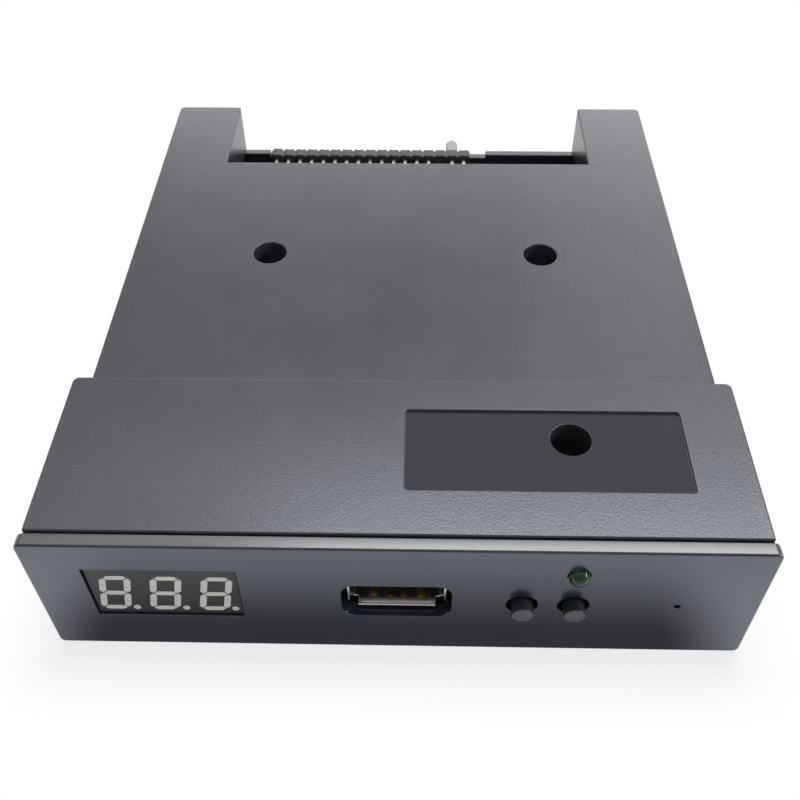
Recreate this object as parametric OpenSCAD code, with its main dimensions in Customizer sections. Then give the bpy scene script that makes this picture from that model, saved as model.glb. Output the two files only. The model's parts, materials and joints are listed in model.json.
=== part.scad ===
// Floppy drive emulator for a 3.5-inch bay
// Depths are measured back from the bezel's front face, heights up from the base.

/* [Case] */
// Width of the front bezel
bezel_w = 101.6; // [101:0.1:103]
// Height of the bezel and of the raised front block
bezel_h = 25.4; // [25:0.1:26]
// Thickness of the bezel plate
bezel_t = 2.2; // [2:0.1:2.4]
// Gap between the bezel and the case behind it
bezel_gap = 0.3; // [0.2:0.05:0.4]
// Width of the cover and the tray
body_w = 100.4; // [100:0.1:101]
// Depth of the case
body_depth = 120; // [119:0.5:123]
// Depth at which the raised front block ends
block_end = 31.1; // [30:0.1:34]
// Height of the low rear deck
deck_h = 19.3; // [18.8:0.1:20.5]
// Wall thickness of the cover and the tray
wall = 1.8; // [1.6:0.1:2]
// Thickness of the tray's floor
floor_t = 2; // [1.6:0.1:2.2]
// Height of the joint between tray and cover, level with the top of the main board
split_z = 8.6; // [8.5:0.1:8.7]
// Radius of the case's upright corners
corner_r = 1; // [0.5:0.1:1.5]

/* [Cover] */
// Width of the rear notch between the ears
notch_w = 74; // [72:0.5:75]
// Depth of the rear notch
notch_depth = 21.3; // [20.5:0.1:22]
// Width of the shallow recess on the block
recess_w = 40.4; // [38:0.1:42]
// Length of the recess from front to back
recess_l = 15; // [13:0.1:16]
// How deep the recess is cut
recess_cut = 0.4; // [0.3:0.1:0.8]
// Middle of the recess, right of the middle plane
recess_x = 21.1; // [18:0.1:24]
// Middle of the recess behind the bezel's front face
recess_y = 17.55; // [16:0.05:18]
// Distance of the case screws from the middle plane
screw_x = 24.9; // [24:0.1:26]
// Depth of the front case screw
screw_front = 19.8; // [19.4:0.1:20.4]
// Depth of the rear pair of case screws
screw_rear = 69.3; // [66:0.1:70]
// Diameter of the screw counterbores
counterbore_d = 6; // [5.8:0.1:6.2]

/* [Bezel openings] */
// Width of the display window
window_w = 21.2; // [20.8:0.1:21.8]
// Height of the display window
window_h = 11.7; // [10.8:0.1:12]
// Middle of the display window, left of the middle plane
window_x = -32.5; // [-32.9:0.1:-31.9]
// Height of the display window's middle
window_z = 13.95; // [13.9:0.05:14.3]
// Width of the mouth round the USB socket
mouth_w = 15.5; // [15:0.1:16.5]
// Height of the mouth round the USB socket
mouth_h = 7.8; // [7.6:0.1:8.4]
// Corner radius of the USB mouth
mouth_r = 2.2; // [1.5:0.1:2.5]
// Height of the USB socket's middle
usb_z = 12.7; // [12.6:0.1:12.9]
// Place of the left button, right of the middle plane
left_button_x = 17.6; // [16:0.1:18]
// Place of the right button, right of the middle plane
right_button_x = 24.8; // [24.6:0.1:25.8]
// Height of the buttons
button_z = 12.3; // [12.1:0.1:12.5]
// Diameter of the button holes
button_hole_d = 4.5; // [4.3:0.1:4.8]
// Place of the status light, right of the middle plane
light_x = 24.7; // [24.5:0.1:25.5]
// Height of the status light
light_z = 19.9; // [19.5:0.1:20]
// Place of the pinhole, right of the middle plane
pinhole_x = 39.3; // [36:0.1:46]
// Height of the pinhole
pinhole_z = 12.4; // [8:0.1:18]
// Diameter of the pinhole
pinhole_d = 1; // [0.8:0.1:1.4]

/* [Moving pieces] */
// Diameter of the button plungers
button_d = 3.1; // [2.9:0.1:3.3]
// How far the buttons stand out of the bezel
button_proud = 1.85; // [1.5:0.05:2]
// Diameter of the status light
light_d = 3; // [2.8:0.1:3]

/* [Display] */
// Width of the display housing
display_w = 22.5; // [22.2:0.1:22.6]
// Height of the display housing
display_h = 14; // [13.5:0.1:14]
// Thickness of the display housing
display_t = 7; // [6:0.1:7]
// Spacing of the digits
digit_pitch = 7.1; // [6.9:0.01:7.1]
// Width of one digit, before it leans
digit_w = 4.4; // [4.2:0.1:4.5]
// Height of one digit
digit_h = 8.6; // [8.2:0.1:9]
// Lean of the digits in degrees
digit_lean = 10; // [6:1:11]
// Width of a segment
segment_w = 0.95; // [0.8:0.05:1.1]

/* [Rear connectors] */
// Spacing of the header pins
pin_pitch = 2.54; // [2.5:0.01:2.54]
// Columns of the floppy header
header_columns = 17; // [15:1:17]
// Column without an upper pin, the key, counted from the left
key_column = 14; // [0:1:14]
// Column that the jumper cap is parked on, counted from the left
jumper_column = 15; // [15:1:15]
// Middle of the floppy header from the middle plane
header_x = -8.2; // [-9:0.05:-6]
// Middle of the power socket from the middle plane
power_x = 27; // [26:0.1:28]

/* [Bay mounting holes] */
// Radius of the screw pilot holes for the bay's M3 screws
bay_hole_r = 1.3; // [1.25:0.05:1.4]
// Height of the side holes
side_hole_z = 5; // [4.8:0.1:5.2]
// Distance of the first side hole behind the bezel
side_hole_back = 21; // [20:0.5:22]
// Distance of the first base hole behind the bezel
base_hole_back = 31; // [30:0.5:32]
// Spacing of the holes from front to back
bay_pitch = 70; // [69:0.5:70]
// Spacing of the base holes across the case
base_hole_spread = 90; // [89:0.5:91]

/* [Hidden] */
$fn = 48;
cut = 1;
recess_size = [recess_w, recess_l, recess_cut];
recess_at = [recess_x, recess_y];
screw_depths = [screw_front, screw_rear];
window_size = [window_w, window_h];
window_at = [window_x, window_z];
mouth_size = [mouth_w, mouth_h];
button_x = [left_button_x, right_button_x];
light_at = [light_x, light_z];
pinhole_at = [pinhole_x, pinhole_z];
display_size = [display_w, display_h, display_t];
digit_size = [digit_w, digit_h];
front_y = -(body_depth - button_proud) / 2;
case_start = bezel_t + bezel_gap;
inner_x = body_w / 2 - wall;
inner_end = body_depth - wall;
notch_start = body_depth - notch_depth;
board_t = 1.6;
board_under = split_z - board_t;
board_half_w = 44;
board_start = case_start + 0.5;
board_end = notch_start - 6;
tail_half_w = notch_w / 2 - 2;
tail_end = inner_end - 7;
board_room = [[-board_half_w - 1, -19.8], [0, 13.2]];

// Case screws: one in front on the right, two behind
screw_places = [[screw_x, screw_depths[0]], [screw_x, screw_depths[1]], [-screw_x, screw_depths[1]]];
column_d = 8.5;
boss_d = 7;
screw_d = 2.8;
screw_pilot_d = 2.9;
screw_clear_d = 3.3;
screw_head = [5.4, 1.9];
screw_tip_z = 2.4;
screw_slot = [0.8, 3.6, 0.9];
column_web = 1.8;
seat_z = split_z + column_web;

// Snap tabs of the bezel
tab_w = 8;
tab_t = 1.5;
tab_length = 6.2;
tab_slack = 0.15;
tab_margin = 0.5;
catch_rise = 0.65;
catch_start = case_start + 2.1;
catch_length = 1.4;
top_tabs_x = [-12, 12];
base_tabs_x = [-30, 30];

// Locating lip of the tray inside the cover
lip_t = 0.8;
lip_h = 1.5;
lip_slack = 0.15;
lip_span = [case_start + 4, notch_start - 3];

// Posts under the board
post_d = 5;
post_places = [[-40, 20], [40, 26], [-40, 60], [40, 60], [-18, 102], [8, 102]];

// Display stack
window_lip = 1.2;
display_face = 0.4;
face_gap = 0.15;
display_front = window_lip + 0.1;
display_back = display_front + display_size[2];
display_pocket = 0.2;
display_board_size = [22.6, 1.6, 14.2];
display_board_back = display_back + display_board_size[1];
display_pin = 0.5;
display_pin_length = 2.6;
display_pin_hole = 0.8;
display_pin_columns = 6;
display_pin_rows = 10.16;
segment_t = 0.1;
segment_gap = 0.12;
digit_drop = 0.4;
point_d = 1.05;
point_aside = 0.8;
link_pins = 4;
link_z = split_z + 2.4;
link_stand = 0.4;
link_pin_inset = 0.1;
link_leg = board_room[1][1] + 1.6;

// USB socket
usb_inner = [12.5, 5.12];
usb_sheet = 0.3;
usb_start = 2.6;
usb_end = 14.3;
usb_lip_start = 1.35;
usb_flare = 0.45;
usb_lip_w = [11.1, 3.6];
usb_tab = [7, 2.4];
usb_fit = 0.1;
usb_foot_inset = 0.3;
usb_tail = usb_end + 1;
tongue_size = [11.1, 1.84];
tongue_start = 3;
tongue_root = 10.4;
tongue_back = usb_end + 0.6;
usb_foot_start = 5.5;
tongue_z = usb_z + 0.02;
contact_x = [-3.5, -1, 1, 3.5];
contact_size = [1, 0.25];
contact_inset = 0.6;
contact_tail_w = 0.6;
contact_slack = 0.05;

// Switches behind the buttons
switch_w = 6;
switch_start = 4;
switch_plate_t = 0.3;
switch_plate_lift = 0.2;
switch_body_start = switch_start + switch_plate_t;
switch_end = 7.6;
switch_top = 15.4;
switch_lead = [0.7, 0.3];
switch_lead_x = 2.25;
switch_well_d = 4.8;
switch_well_end = 6.4;
plunger_slack = 0.5;
plunger_flange = [4.4, 0.6];
plunger_flange_start = switch_body_start + 0.2;
plunger_nub_d = 1.6;
plunger_nub_end = 5.55;
dome_apex = 5.6;
dome_shoulder = dome_apex + 0.05;
dome_sheet = 0.12;
dome_r = [1.2, 2.1];

// Status light
light_flange = [3.8, 0.8];
light_flange_start = 3.6;
light_hole_d = light_d + 0.2;
lead_w = 0.5;
lead_half_gap = 1.27;
lead_drop = 10;
lead_slack = 0.1;
spacer_span = [8.3, 11.8];
spacer_half_w = 2.6;
spacer_top = 22.2;

// Floppy header
pin_w = 0.64;
pin_slack = 0.06;
pin_hole = 0.95;
header_start = tail_end - 1.3;
header_end = header_start + pin_pitch;
header_h = 2 * pin_pitch;
pin_rows_z = [split_z + pin_pitch / 2, split_z + 1.5 * pin_pitch];
pin_legs = [header_start - 1.6, header_start - 1.6 - pin_pitch];
pin_tip = body_depth - 2.8;
pin_foot_z = 6;
scallop = 0.55;
header_left = header_x - (header_columns - 1) / 2 * pin_pitch;

// Jumper cap
jumper_x = header_left + jumper_column * pin_pitch;
jumper_half_w = 1.22;
jumper_round = 1.2;
jumper_span = [header_end + 0.3, pin_tip - 0.6];
jumper_half_h = 0.9;
jumper_z = [pin_rows_z[0] - jumper_half_h, pin_rows_z[1] + jumper_half_h];
jumper_chamber = [0.75, 0.45];
jumper_exit = [0.42, 0.9];
jumper_leaf = 0.3;
jumper_leaf_inset = [0.4, 0.2];

// Power socket
power_size = [11.4, 9.3, 6.4];
power_start = board_end + 2.8;
power_end = power_start + power_size[1];
power_wall = 0.8;
power_back = 2;
power_pitch = 2.5;
power_pins = 4;
power_pin_inset = 0.6;
power_pin_z = split_z + 3.25;
power_leg = power_start - 2;

// Relief in the tray's rear wall for the plug of the floppy cable
plug_relief = [-31.4, 17.5];
plug_relief_z = split_z - 0.8;

// Board components
mcu_at = [-4, 44];
mcu_size = [10, 10, 1.4];
mcu_legs = 16;
mcu_leg_pitch = 0.5;
mcu_leg_w = 0.22;
leg_reach = 1;
leg_t = 0.2;
chip_lift = 0.1;
crystal_at = [-20, 42];
crystal_size = [11, 4.6, 3.5];
regulator_at = [34, 84];
regulator_size = [6.5, 3.5, 1.6];
driver_places = [[-21, 96], [-2, 96]];
driver_size = [8.7, 3.9, 1.5];
driver_legs = 7;
driver_leg_pitch = 1.27;
driver_leg_w = 0.4;
driver_rise = 1.5;
capacitor_at = [14, 86];
capacitor_d = 6.3;
capacitor_h = 5.4;
capacitor_base = [6.6, 6.6, 0.9];
fuse_at = [38, 72];
fuse_size = [4.5, 3.2, 1];
chip_part = [2, 1.25, 0.55];
resistor_start = [-28, 100.6];
resistor_pitch = 5;
resistor_count = 9;
decoupling_ring = 10;
decoupling_count = 6;

// Shared shapes

// Moves a shape drawn at its depth behind the bezel's front face into place
module placed() {
    translate([0, front_y, 0]) children();
}

// A box between two opposite corners
module box(low, high) {
    translate(low) cube(high - low);
}

// A box on a height, centred on a point of the plan
module seated_box(at, z, size) {
    translate([at[0] - size[0] / 2, at[1] - size[1] / 2, z]) cube(size);
}

// A rectangle with round corners about its middle
module round_rect(size, r) {
    square([size[0] - 2 * r, size[1]], center = true);
    square([size[0], size[1] - 2 * r], center = true);
    for (x = [-1, 1], y = [-1, 1])
        translate([x * (size[0] / 2 - r), y * (size[1] / 2 - r)]) circle(r);
}

// The case's plan between two depths, with its rear corners rounded
module case_plan(start, end) {
    translate([-body_w / 2, start]) square([body_w, end - start - corner_r]);
    translate([corner_r - body_w / 2, start]) square([body_w - 2 * corner_r, end - start]);
    for (x = [-1, 1])
        translate([x * (body_w / 2 - corner_r), end - corner_r]) circle(corner_r);
}

// A shape drawn across and up, stretched between two depths
module across(start, end) {
    translate([0, end, 0]) rotate([90, 0, 0]) linear_extrude(end - start) children();
}

// A round rod between two depths
module rod(at, start, end, d) {
    translate([at[0], start, at[1]]) rotate([-90, 0, 0]) cylinder(d = d, h = end - start);
}

// A profile of radius and depth, turned about a line that runs back from a point
module turned(at, points) {
    translate([at[0], 0, at[1]]) rotate([-90, 0, 0]) rotate_extrude() polygon(points);
}

// A profile of depth and height, stretched across the case
module lengthwise(x, w, points) {
    translate([x - w / 2, 0, 0]) rotate([90, 0, 90]) linear_extrude(w) polygon(points);
}

// A square pin that runs back from a leg and has that leg bent down through the board
module bent_pin(x, z, leg, tip, w) {
    box([x - w / 2, leg - w / 2, z - w / 2], [x + w / 2, tip, z + w / 2]);
    box([x - w / 2, leg - w / 2, pin_foot_z], [x + w / 2, leg + w / 2, z + w / 2]);
}

// A square hole down through the board
module board_hole(at, w) {
    seated_box(at, board_under - cut, [w, w, board_t + 2 * cut]);
}

function header_pin_x(column) = header_left + column * pin_pitch;
function power_pin_x(i) = power_x + (i - (power_pins - 1) / 2) * power_pitch;
function link_pin_x(i) = window_at[0] + (i - (link_pins - 1) / 2) * pin_pitch;
function display_pin_x(i) = window_at[0] + (i - (display_pin_columns - 1) / 2) * pin_pitch;

// Case

// Outside of the cover: the low deck and the raised front block
module cover_outside() {
    translate([0, 0, split_z]) linear_extrude(deck_h - split_z) case_plan(case_start, body_depth);
    translate([0, 0, split_z]) linear_extrude(bezel_h - split_z) case_plan(case_start, block_end);
}

// Hollow of the cover under the block, under the deck and in the two ears
module cover_hollow() {
    low = split_z - cut;
    box([-inner_x, case_start - cut, low], [inner_x, block_end - wall, bezel_h - wall]);
    box([-inner_x, case_start - cut, low], [inner_x, notch_start, deck_h - wall]);
    for (side = [0, 1]) mirror([side, 0, 0])
        box([notch_w / 2 + wall, notch_start - cut, low], [inner_x, inner_end, deck_h - wall]);
}

// Rebate that takes the tray's lip
module lip_rebate(side) {
    mirror([side, 0, 0])
        box(
            [inner_x - cut, lip_span[0] - lip_slack, split_z - cut],
            [inner_x + lip_t + lip_slack, lip_span[1] + lip_slack, split_z + lip_h + lip_slack]
        );
}

module top_cover() {
    color("#3a3b3f") placed() difference() {
        union() {
            difference() {
                cover_outside();
                cover_hollow();
            }
            for (at = screw_places)
                translate([at[0], at[1], split_z])
                    cylinder(d = column_d, h = (at[1] < block_end ? bezel_h : deck_h) - split_z - wall / 2);
            for (x = top_tabs_x)
                box(
                    [x - tab_w / 2 - tab_margin, catch_start, bezel_h - wall - catch_rise],
                    [x + tab_w / 2 + tab_margin, catch_start + catch_length, bezel_h - wall / 2]
                );
        }
        box([-notch_w / 2, notch_start, split_z - cut], [notch_w / 2, body_depth + cut, deck_h + cut]);
        translate([recess_at[0], recess_at[1], bezel_h - recess_size[2]])
            linear_extrude(recess_size[2] + cut) round_rect([recess_size[0], recess_size[1]], corner_r / 2);
        for (at = screw_places) translate([at[0], at[1], 0]) {
            translate([0, 0, seat_z]) cylinder(d = counterbore_d, h = bezel_h);
            translate([0, 0, split_z - cut]) cylinder(d = screw_clear_d, h = column_web + 2 * cut);
        }
        for (side = [0, 1]) lip_rebate(side);
    }
}

// The two depths of a row of bay mounting holes
function bay_depths(back) = [bezel_t + back, bezel_t + back + bay_pitch];

module bottom_tray() {
    side_block = [5, 6.4, side_hole_z + 1.8];
    base_boss_d = 6;
    base_hole_h = 5.8;
    color("#333438") placed() difference() {
        union() {
            difference() {
                linear_extrude(split_z) case_plan(case_start, body_depth);
                box([-inner_x, case_start - cut, floor_t], [inner_x, inner_end, split_z + cut]);
            }
            for (side = [0, 1]) mirror([side, 0, 0])
                box(
                    [inner_x - lip_t / 2, lip_span[0], split_z - lip_h],
                    [inner_x + lip_t, lip_span[1], split_z + lip_h]
                );
            for (at = screw_places)
                translate([at[0], at[1], 0]) cylinder(d = boss_d, h = board_under);
            for (at = post_places)
                translate([at[0], at[1], 0]) cylinder(d = post_d, h = board_under);
            for (side = [-1, 1], y = bay_depths(side_hole_back))
                seated_box(
                    [side * (inner_x - side_block[0] / 2 + cut / 2), y],
                    0, side_block + [cut, 0, 0]
                );
            for (side = [-1, 1], y = bay_depths(base_hole_back))
                translate([side * base_hole_spread / 2, y, 0]) cylinder(d = base_boss_d, h = side_block[2]);
            for (x = base_tabs_x)
                box(
                    [x - tab_w / 2 - tab_margin, catch_start, 0],
                    [x + tab_w / 2 + tab_margin, catch_start + catch_length, floor_t + catch_rise]
                );
        }
        for (at = screw_places)
            translate([at[0], at[1], floor_t / 2]) cylinder(d = screw_pilot_d, h = split_z);
        for (side = [0, 1], y = bay_depths(side_hole_back)) mirror([side, 0, 0])
            translate([inner_x - side_block[0] + cut, y, side_hole_z])
                rotate([0, 90, 0]) cylinder(r = bay_hole_r, h = side_block[0] + wall);
        for (side = [-1, 1], y = bay_depths(base_hole_back))
            translate([side * base_hole_spread / 2, y, -cut])
                cylinder(r = bay_hole_r, h = base_hole_h + cut);
        box(
            [plug_relief[0], inner_end - cut, plug_relief_z],
            [plug_relief[1], body_depth + cut, split_z + cut]
        );
    }
}

// A snap tab that runs back from the bezel, with its barb facing up
module snap_tab(x, top) {
    barb_start = catch_start + catch_length + tab_slack;
    barb_top = top + catch_rise - tab_slack / 2;
    end = bezel_t + tab_length;
    box([x - tab_w / 2, bezel_t - cut, top - tab_t], [x + tab_w / 2, end, top]);
    lengthwise(x, tab_w, [
        [barb_start, top - tab_t / 2], [barb_start, barb_top],
        [end, top], [end, top - tab_t / 2]
    ]);
}

module front_bezel() {
    color("#2f3034") placed() difference() {
        union() {
            across(0, bezel_t) translate([0, bezel_h / 2]) round_rect([bezel_w, bezel_h], corner_r);
            for (x = top_tabs_x) snap_tab(x, bezel_h - wall - catch_rise - tab_slack);
            for (x = base_tabs_x)
                translate([0, 0, 2 * (floor_t + catch_rise + tab_slack)]) mirror([0, 0, 1])
                    snap_tab(x, floor_t + catch_rise + tab_slack);
        }
        across(-cut, bezel_t + cut) translate(window_at) square(window_size, center = true);
        across(window_lip, bezel_t + cut) translate(window_at)
            square(
                [display_size[0] + 2 * display_pocket, display_size[1] + 2 * display_pocket],
                center = true
            );
        across(-cut, bezel_t + cut) translate([0, usb_z]) round_rect(mouth_size, mouth_r);
        for (x = button_x) rod([x, button_z], -cut, bezel_t + cut, button_hole_d);
        rod(light_at, -cut, bezel_t + cut, light_hole_d);
        rod(pinhole_at, -cut, bezel_t + cut, pinhole_d);
    }
}

module case_screws() {
    color("#b9bcc0") placed() for (at = screw_places) difference() {
        union() {
            translate([at[0], at[1], seat_z]) cylinder(d = screw_head[0], h = screw_head[1]);
            translate([at[0], at[1], screw_tip_z]) cylinder(d = screw_d, h = seat_z - screw_tip_z);
        }
        for (turn = [0, 90])
            translate([at[0], at[1], seat_z + screw_head[1] - screw_slot[2]]) rotate(turn)
                linear_extrude(screw_slot[2] + cut) square([screw_slot[0], screw_slot[1]], center = true);
    }
}

// Boards

module main_board() {
    color("#1f6b3a") placed() difference() {
        union() {
            box([-board_half_w, board_start, board_under], [board_half_w, board_end, split_z]);
            box([-tail_half_w, board_end - cut, board_under], [tail_half_w, tail_end, split_z]);
        }
        box(
            [board_room[0][0], board_room[1][0], board_under - cut],
            [board_room[0][1], board_room[1][1], split_z + cut]
        );
        for (at = screw_places)
            translate([at[0], at[1], board_under - cut]) cylinder(d = screw_clear_d, h = board_t + 2 * cut);
        for (column = [0:header_columns - 1], leg = pin_legs)
            board_hole([header_pin_x(column), leg], pin_hole);
        for (i = [0:power_pins - 1]) board_hole([power_pin_x(i), power_leg], pin_hole);
        for (i = [0:link_pins - 1]) board_hole([link_pin_x(i), link_leg], pin_hole);
        for (x = contact_x) board_hole([x, usb_tail], pin_hole);
        for (side = [-1, 1]) board_hole([side * lead_half_gap + light_at[0], lead_drop], pin_hole);
        for (x = button_x, side = [-1, 1])
            board_hole([x + side * switch_lead_x, switch_end + switch_lead[1] / 2], pin_hole);
    }
}

module display_board() {
    low = [window_at[0] - display_board_size[0] / 2, display_back, board_under];
    color("#1f6b3a") placed() difference() {
        box(low, low + display_board_size);
        for (i = [0:display_pin_columns - 1], row = [-1, 1])
            translate([display_pin_x(i), display_back, window_at[1] + row * display_pin_rows / 2])
                cube([display_pin_hole, 3 * display_board_size[1], display_pin_hole], center = true);
        for (i = [0:link_pins - 1])
            translate([link_pin_x(i), display_back, link_z])
                cube([pin_hole, 3 * display_board_size[1], pin_hole], center = true);
    }
}

// Display

// Housing behind the bezel, with its face standing forward in the window
module display_housing() {
    face = window_size - 2 * [face_gap, face_gap];
    color("#17181a") placed() {
        across(display_front, display_back) translate(window_at)
            square([display_size[0], display_size[1]], center = true);
        across(display_face, display_back) translate(window_at) square(face, center = true);
    }
}

// Leans a point of a digit to the right as it goes up
function leaned(p) = [p[0] + p[1] * tan(digit_lean), p[1]];

// A pointed bar between two points of a digit
function bar_points(a, b, w) =
    let (along = (b - a) / norm(b - a), side = [-along[1], along[0]] * w / 2, tip = along * w / 2)
    [a, a + tip + side, b - tip + side, b, b - tip - side, a + tip - side];

module segment(a, b) {
    gap = (b - a) / norm(b - a) * segment_gap;
    polygon([for (p = bar_points(a + gap, b - gap, segment_w)) leaned(p)]);
}

// The seven bars and the decimal point of one digit
module digit() {
    x = (digit_size[0] - segment_w) / 2;
    y = (digit_size[1] - segment_w) / 2;
    for (row = [-1, 0, 1]) segment([-x, row * y], [x, row * y]);
    for (side = [-1, 1], row = [-1, 0]) segment([side * x, row * y], [side * x, (row + 1) * y]);
    translate(leaned([x + segment_w / 2 + point_aside, -y])) circle(d = point_d);
}

module display_segments() {
    color("#dcdcd8") placed()
        across(display_face - segment_t, display_face)
            for (i = [-1:1]) translate([window_at[0] + i * digit_pitch, window_at[1] - digit_drop]) digit();
}

module display_pins() {
    color("#c9c9c4") placed()
        for (i = [0:display_pin_columns - 1], row = [-1, 1]) {
            at = [display_pin_x(i), display_back, window_at[1] + row * display_pin_rows / 2];
            half = [display_pin / 2, 0, display_pin / 2];
            box(at - half, at + half + [0, display_pin_length, 0]);
        }
}

module display_link_body() {
    start = display_board_back + link_stand;
    end = start + pin_pitch;
    half = link_pins * pin_pitch / 2;
    color("#17181a") placed() difference() {
        box(
            [window_at[0] - half, start, link_z - pin_pitch / 2],
            [window_at[0] + half, end, link_z + pin_pitch / 2]
        );
        for (i = [0:link_pins - 1])
            translate([link_pin_x(i), start, link_z])
                cube([pin_w + pin_slack, 3 * pin_pitch, pin_w + pin_slack], center = true);
    }
}

module display_link_pins() {
    color("#d8c48a") placed() for (i = [0:link_pins - 1]) mirror([0, 1, 0])
        bent_pin(link_pin_x(i), link_z, -link_leg, -display_back - link_pin_inset, pin_w);
}

// A flat chip body standing on a board
module chip(at, size, z = split_z) {
    seated_box(at, z + chip_lift, size);
}

// A row of legs along two opposite sides of a chip
module chip_legs(at, size, count, pitch, w, z = split_z) {
    for (i = [0:count - 1], side = [-1, 1])
        seated_box(
            [at[0] + (i - (count - 1) / 2) * pitch, at[1] + side * (size[1] + leg_reach) / 2],
            z, [w, leg_reach, leg_t]
        );
}

// Stands a shape on the back of the display board, above the link header
module on_display_board() {
    translate([window_at[0], display_board_back, window_at[1] + driver_rise])
        rotate([-90, 0, 0]) children();
}

module display_driver() {
    color("#232427") placed() on_display_board() chip([0, 0], driver_size, 0);
}

module display_driver_legs() {
    color("#c9c9c4") placed() on_display_board()
        chip_legs([0, 0], driver_size, driver_legs, driver_leg_pitch, driver_leg_w, 0);
}

// USB socket

// One flared lip of the socket's mouth, drawn at the top and turned round the socket's line
module usb_lip(turn, reach, w) {
    translate([0, 0, usb_z]) rotate([0, turn, 0])
        lengthwise(0, w, [
            [usb_start, reach], [usb_start, reach + usb_sheet],
            [usb_lip_start, reach + usb_sheet + usb_flare], [usb_lip_start, reach + usb_flare]
        ]);
}

module usb_shell() {
    outer = usb_inner + 2 * [usb_sheet, usb_sheet];
    color("#b8babd") placed() {
        difference() {
            across(usb_start, usb_end) translate([0, usb_z]) round_rect(outer, 2 * usb_sheet);
            across(usb_start - cut, usb_end + cut) translate([0, usb_z]) round_rect(usb_inner, usb_sheet);
        }
        for (turn = [0, 180]) usb_lip(turn, usb_inner[1] / 2, usb_lip_w[0]);
        for (turn = [90, 270]) usb_lip(turn, usb_inner[0] / 2, usb_lip_w[1]);
        for (side = [0, 1]) mirror([side, 0, 0])
            box(
                [outer[0] / 2 - usb_sheet, usb_tab[0], split_z],
                [outer[0] / 2, usb_tab[0] + usb_tab[1], usb_z]
            );
    }
}

// Tongue, the block it grows from, and the foot under the shell, joined behind the shell
module usb_tongue() {
    half = usb_inner[0] / 2 - usb_fit;
    low = usb_z - usb_inner[1] / 2;
    high = usb_z + usb_inner[1] / 2 - usb_fit;
    foot_half = half - usb_foot_inset;
    slot = contact_size[0] / 2 + contact_slack;
    color("#1b1c1f") placed() difference() {
        union() {
            box(
                [-tongue_size[0] / 2, tongue_start, tongue_z],
                [tongue_size[0] / 2, usb_end, tongue_z + tongue_size[1]]
            );
            box([-half, tongue_root, low + usb_fit], [half, tongue_back, high]);
            box([-foot_half, usb_foot_start, split_z], [foot_half, tongue_back, low - usb_sheet]);
            box([-foot_half, usb_end, split_z], [foot_half, tongue_back, high]);
        }
        for (x = contact_x)
            box(
                [x - slot, tongue_root - cut, tongue_z - contact_size[1] - contact_slack],
                [x + slot, tongue_back + cut, tongue_z]
            );
    }
}

module usb_contacts() {
    half = contact_size[0] / 2;
    tail_half = contact_tail_w / 2;
    start = tongue_start + contact_inset;
    sheet = contact_size[1] / 2;
    color("#d6b65c") placed() for (x = contact_x) {
        box([x - half, start, tongue_z - 2 * sheet], [x + half, usb_tail + sheet, tongue_z]);
        box([x - tail_half, usb_tail - sheet, pin_foot_z], [x + tail_half, usb_tail + sheet, tongue_z]);
    }
}

// Buttons and their switches

module button(x) {
    stem = button_d / 2;
    edge = 0.3;
    flange = plunger_flange[0] / 2;
    flange_end = plunger_flange_start + plunger_flange[1];
    nub = plunger_nub_d / 2;
    placed() turned([x, button_z], [
        [0, -button_proud], [stem - edge, -button_proud], [stem, edge - button_proud],
        [stem, plunger_flange_start], [flange, plunger_flange_start], [flange, flange_end],
        [nub, flange_end], [nub, plunger_nub_end], [0, plunger_nub_end]
    ]);
}

module left_button() {
    color("#55575b") button(button_x[0]);
}

module right_button() {
    color("#55575b") button(button_x[1]);
}

module switch_body(x) {
    color("#1b1c1f") placed() difference() {
        box([x - switch_w / 2, switch_body_start, split_z], [x + switch_w / 2, switch_end, switch_top]);
        rod([x, button_z], switch_body_start - cut, switch_well_end, switch_well_d);
    }
}

module left_switch_body() {
    switch_body(button_x[0]);
}

module right_switch_body() {
    switch_body(button_x[1]);
}

module switch_plate(x) {
    color("#b8babd") placed() difference() {
        box(
            [x - switch_w / 2, switch_start, split_z + switch_plate_lift],
            [x + switch_w / 2, switch_body_start, switch_top]
        );
        rod([x, button_z], switch_start - cut, switch_body_start + cut, button_d + plunger_slack);
    }
}

module left_switch_plate() {
    switch_plate(button_x[0]);
}

module right_switch_plate() {
    switch_plate(button_x[1]);
}

module snap_dome(x) {
    color("#c9c9c4") placed() turned([x, button_z], [
        [0, dome_apex], [dome_r[0], dome_shoulder], [dome_r[1], switch_well_end - dome_sheet],
        [dome_r[1], switch_well_end], [dome_r[1] - dome_sheet, switch_well_end],
        [dome_r[0], dome_shoulder + dome_sheet], [0, dome_apex + dome_sheet]
    ]);
}

module left_snap_dome() {
    snap_dome(button_x[0]);
}

module right_snap_dome() {
    snap_dome(button_x[1]);
}

module switch_leads() {
    half = switch_lead[0] / 2;
    rise = 2;
    color("#c9c9c4") placed() for (x = button_x, side = [-1, 1])
        box(
            [x + side * switch_lead_x - half, switch_end, pin_foot_z],
            [x + side * switch_lead_x + half, switch_end + switch_lead[1], split_z + rise]
        );
}

// Status light

module status_light() {
    color("#3f7a4a") placed() {
        translate([light_at[0], 0, light_at[1]]) sphere(d = light_d);
        rod(light_at, 0, light_flange_start, light_d);
        rod(light_at, light_flange_start, light_flange_start + light_flange[1], light_flange[0]);
    }
}

module light_leads() {
    start = light_flange_start + light_flange[1];
    color("#c9c9c4") placed() for (side = [-1, 1]) mirror([0, 1, 0])
        bent_pin(light_at[0] + side * lead_half_gap, light_at[1], -lead_drop, -start, lead_w);
}

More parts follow.
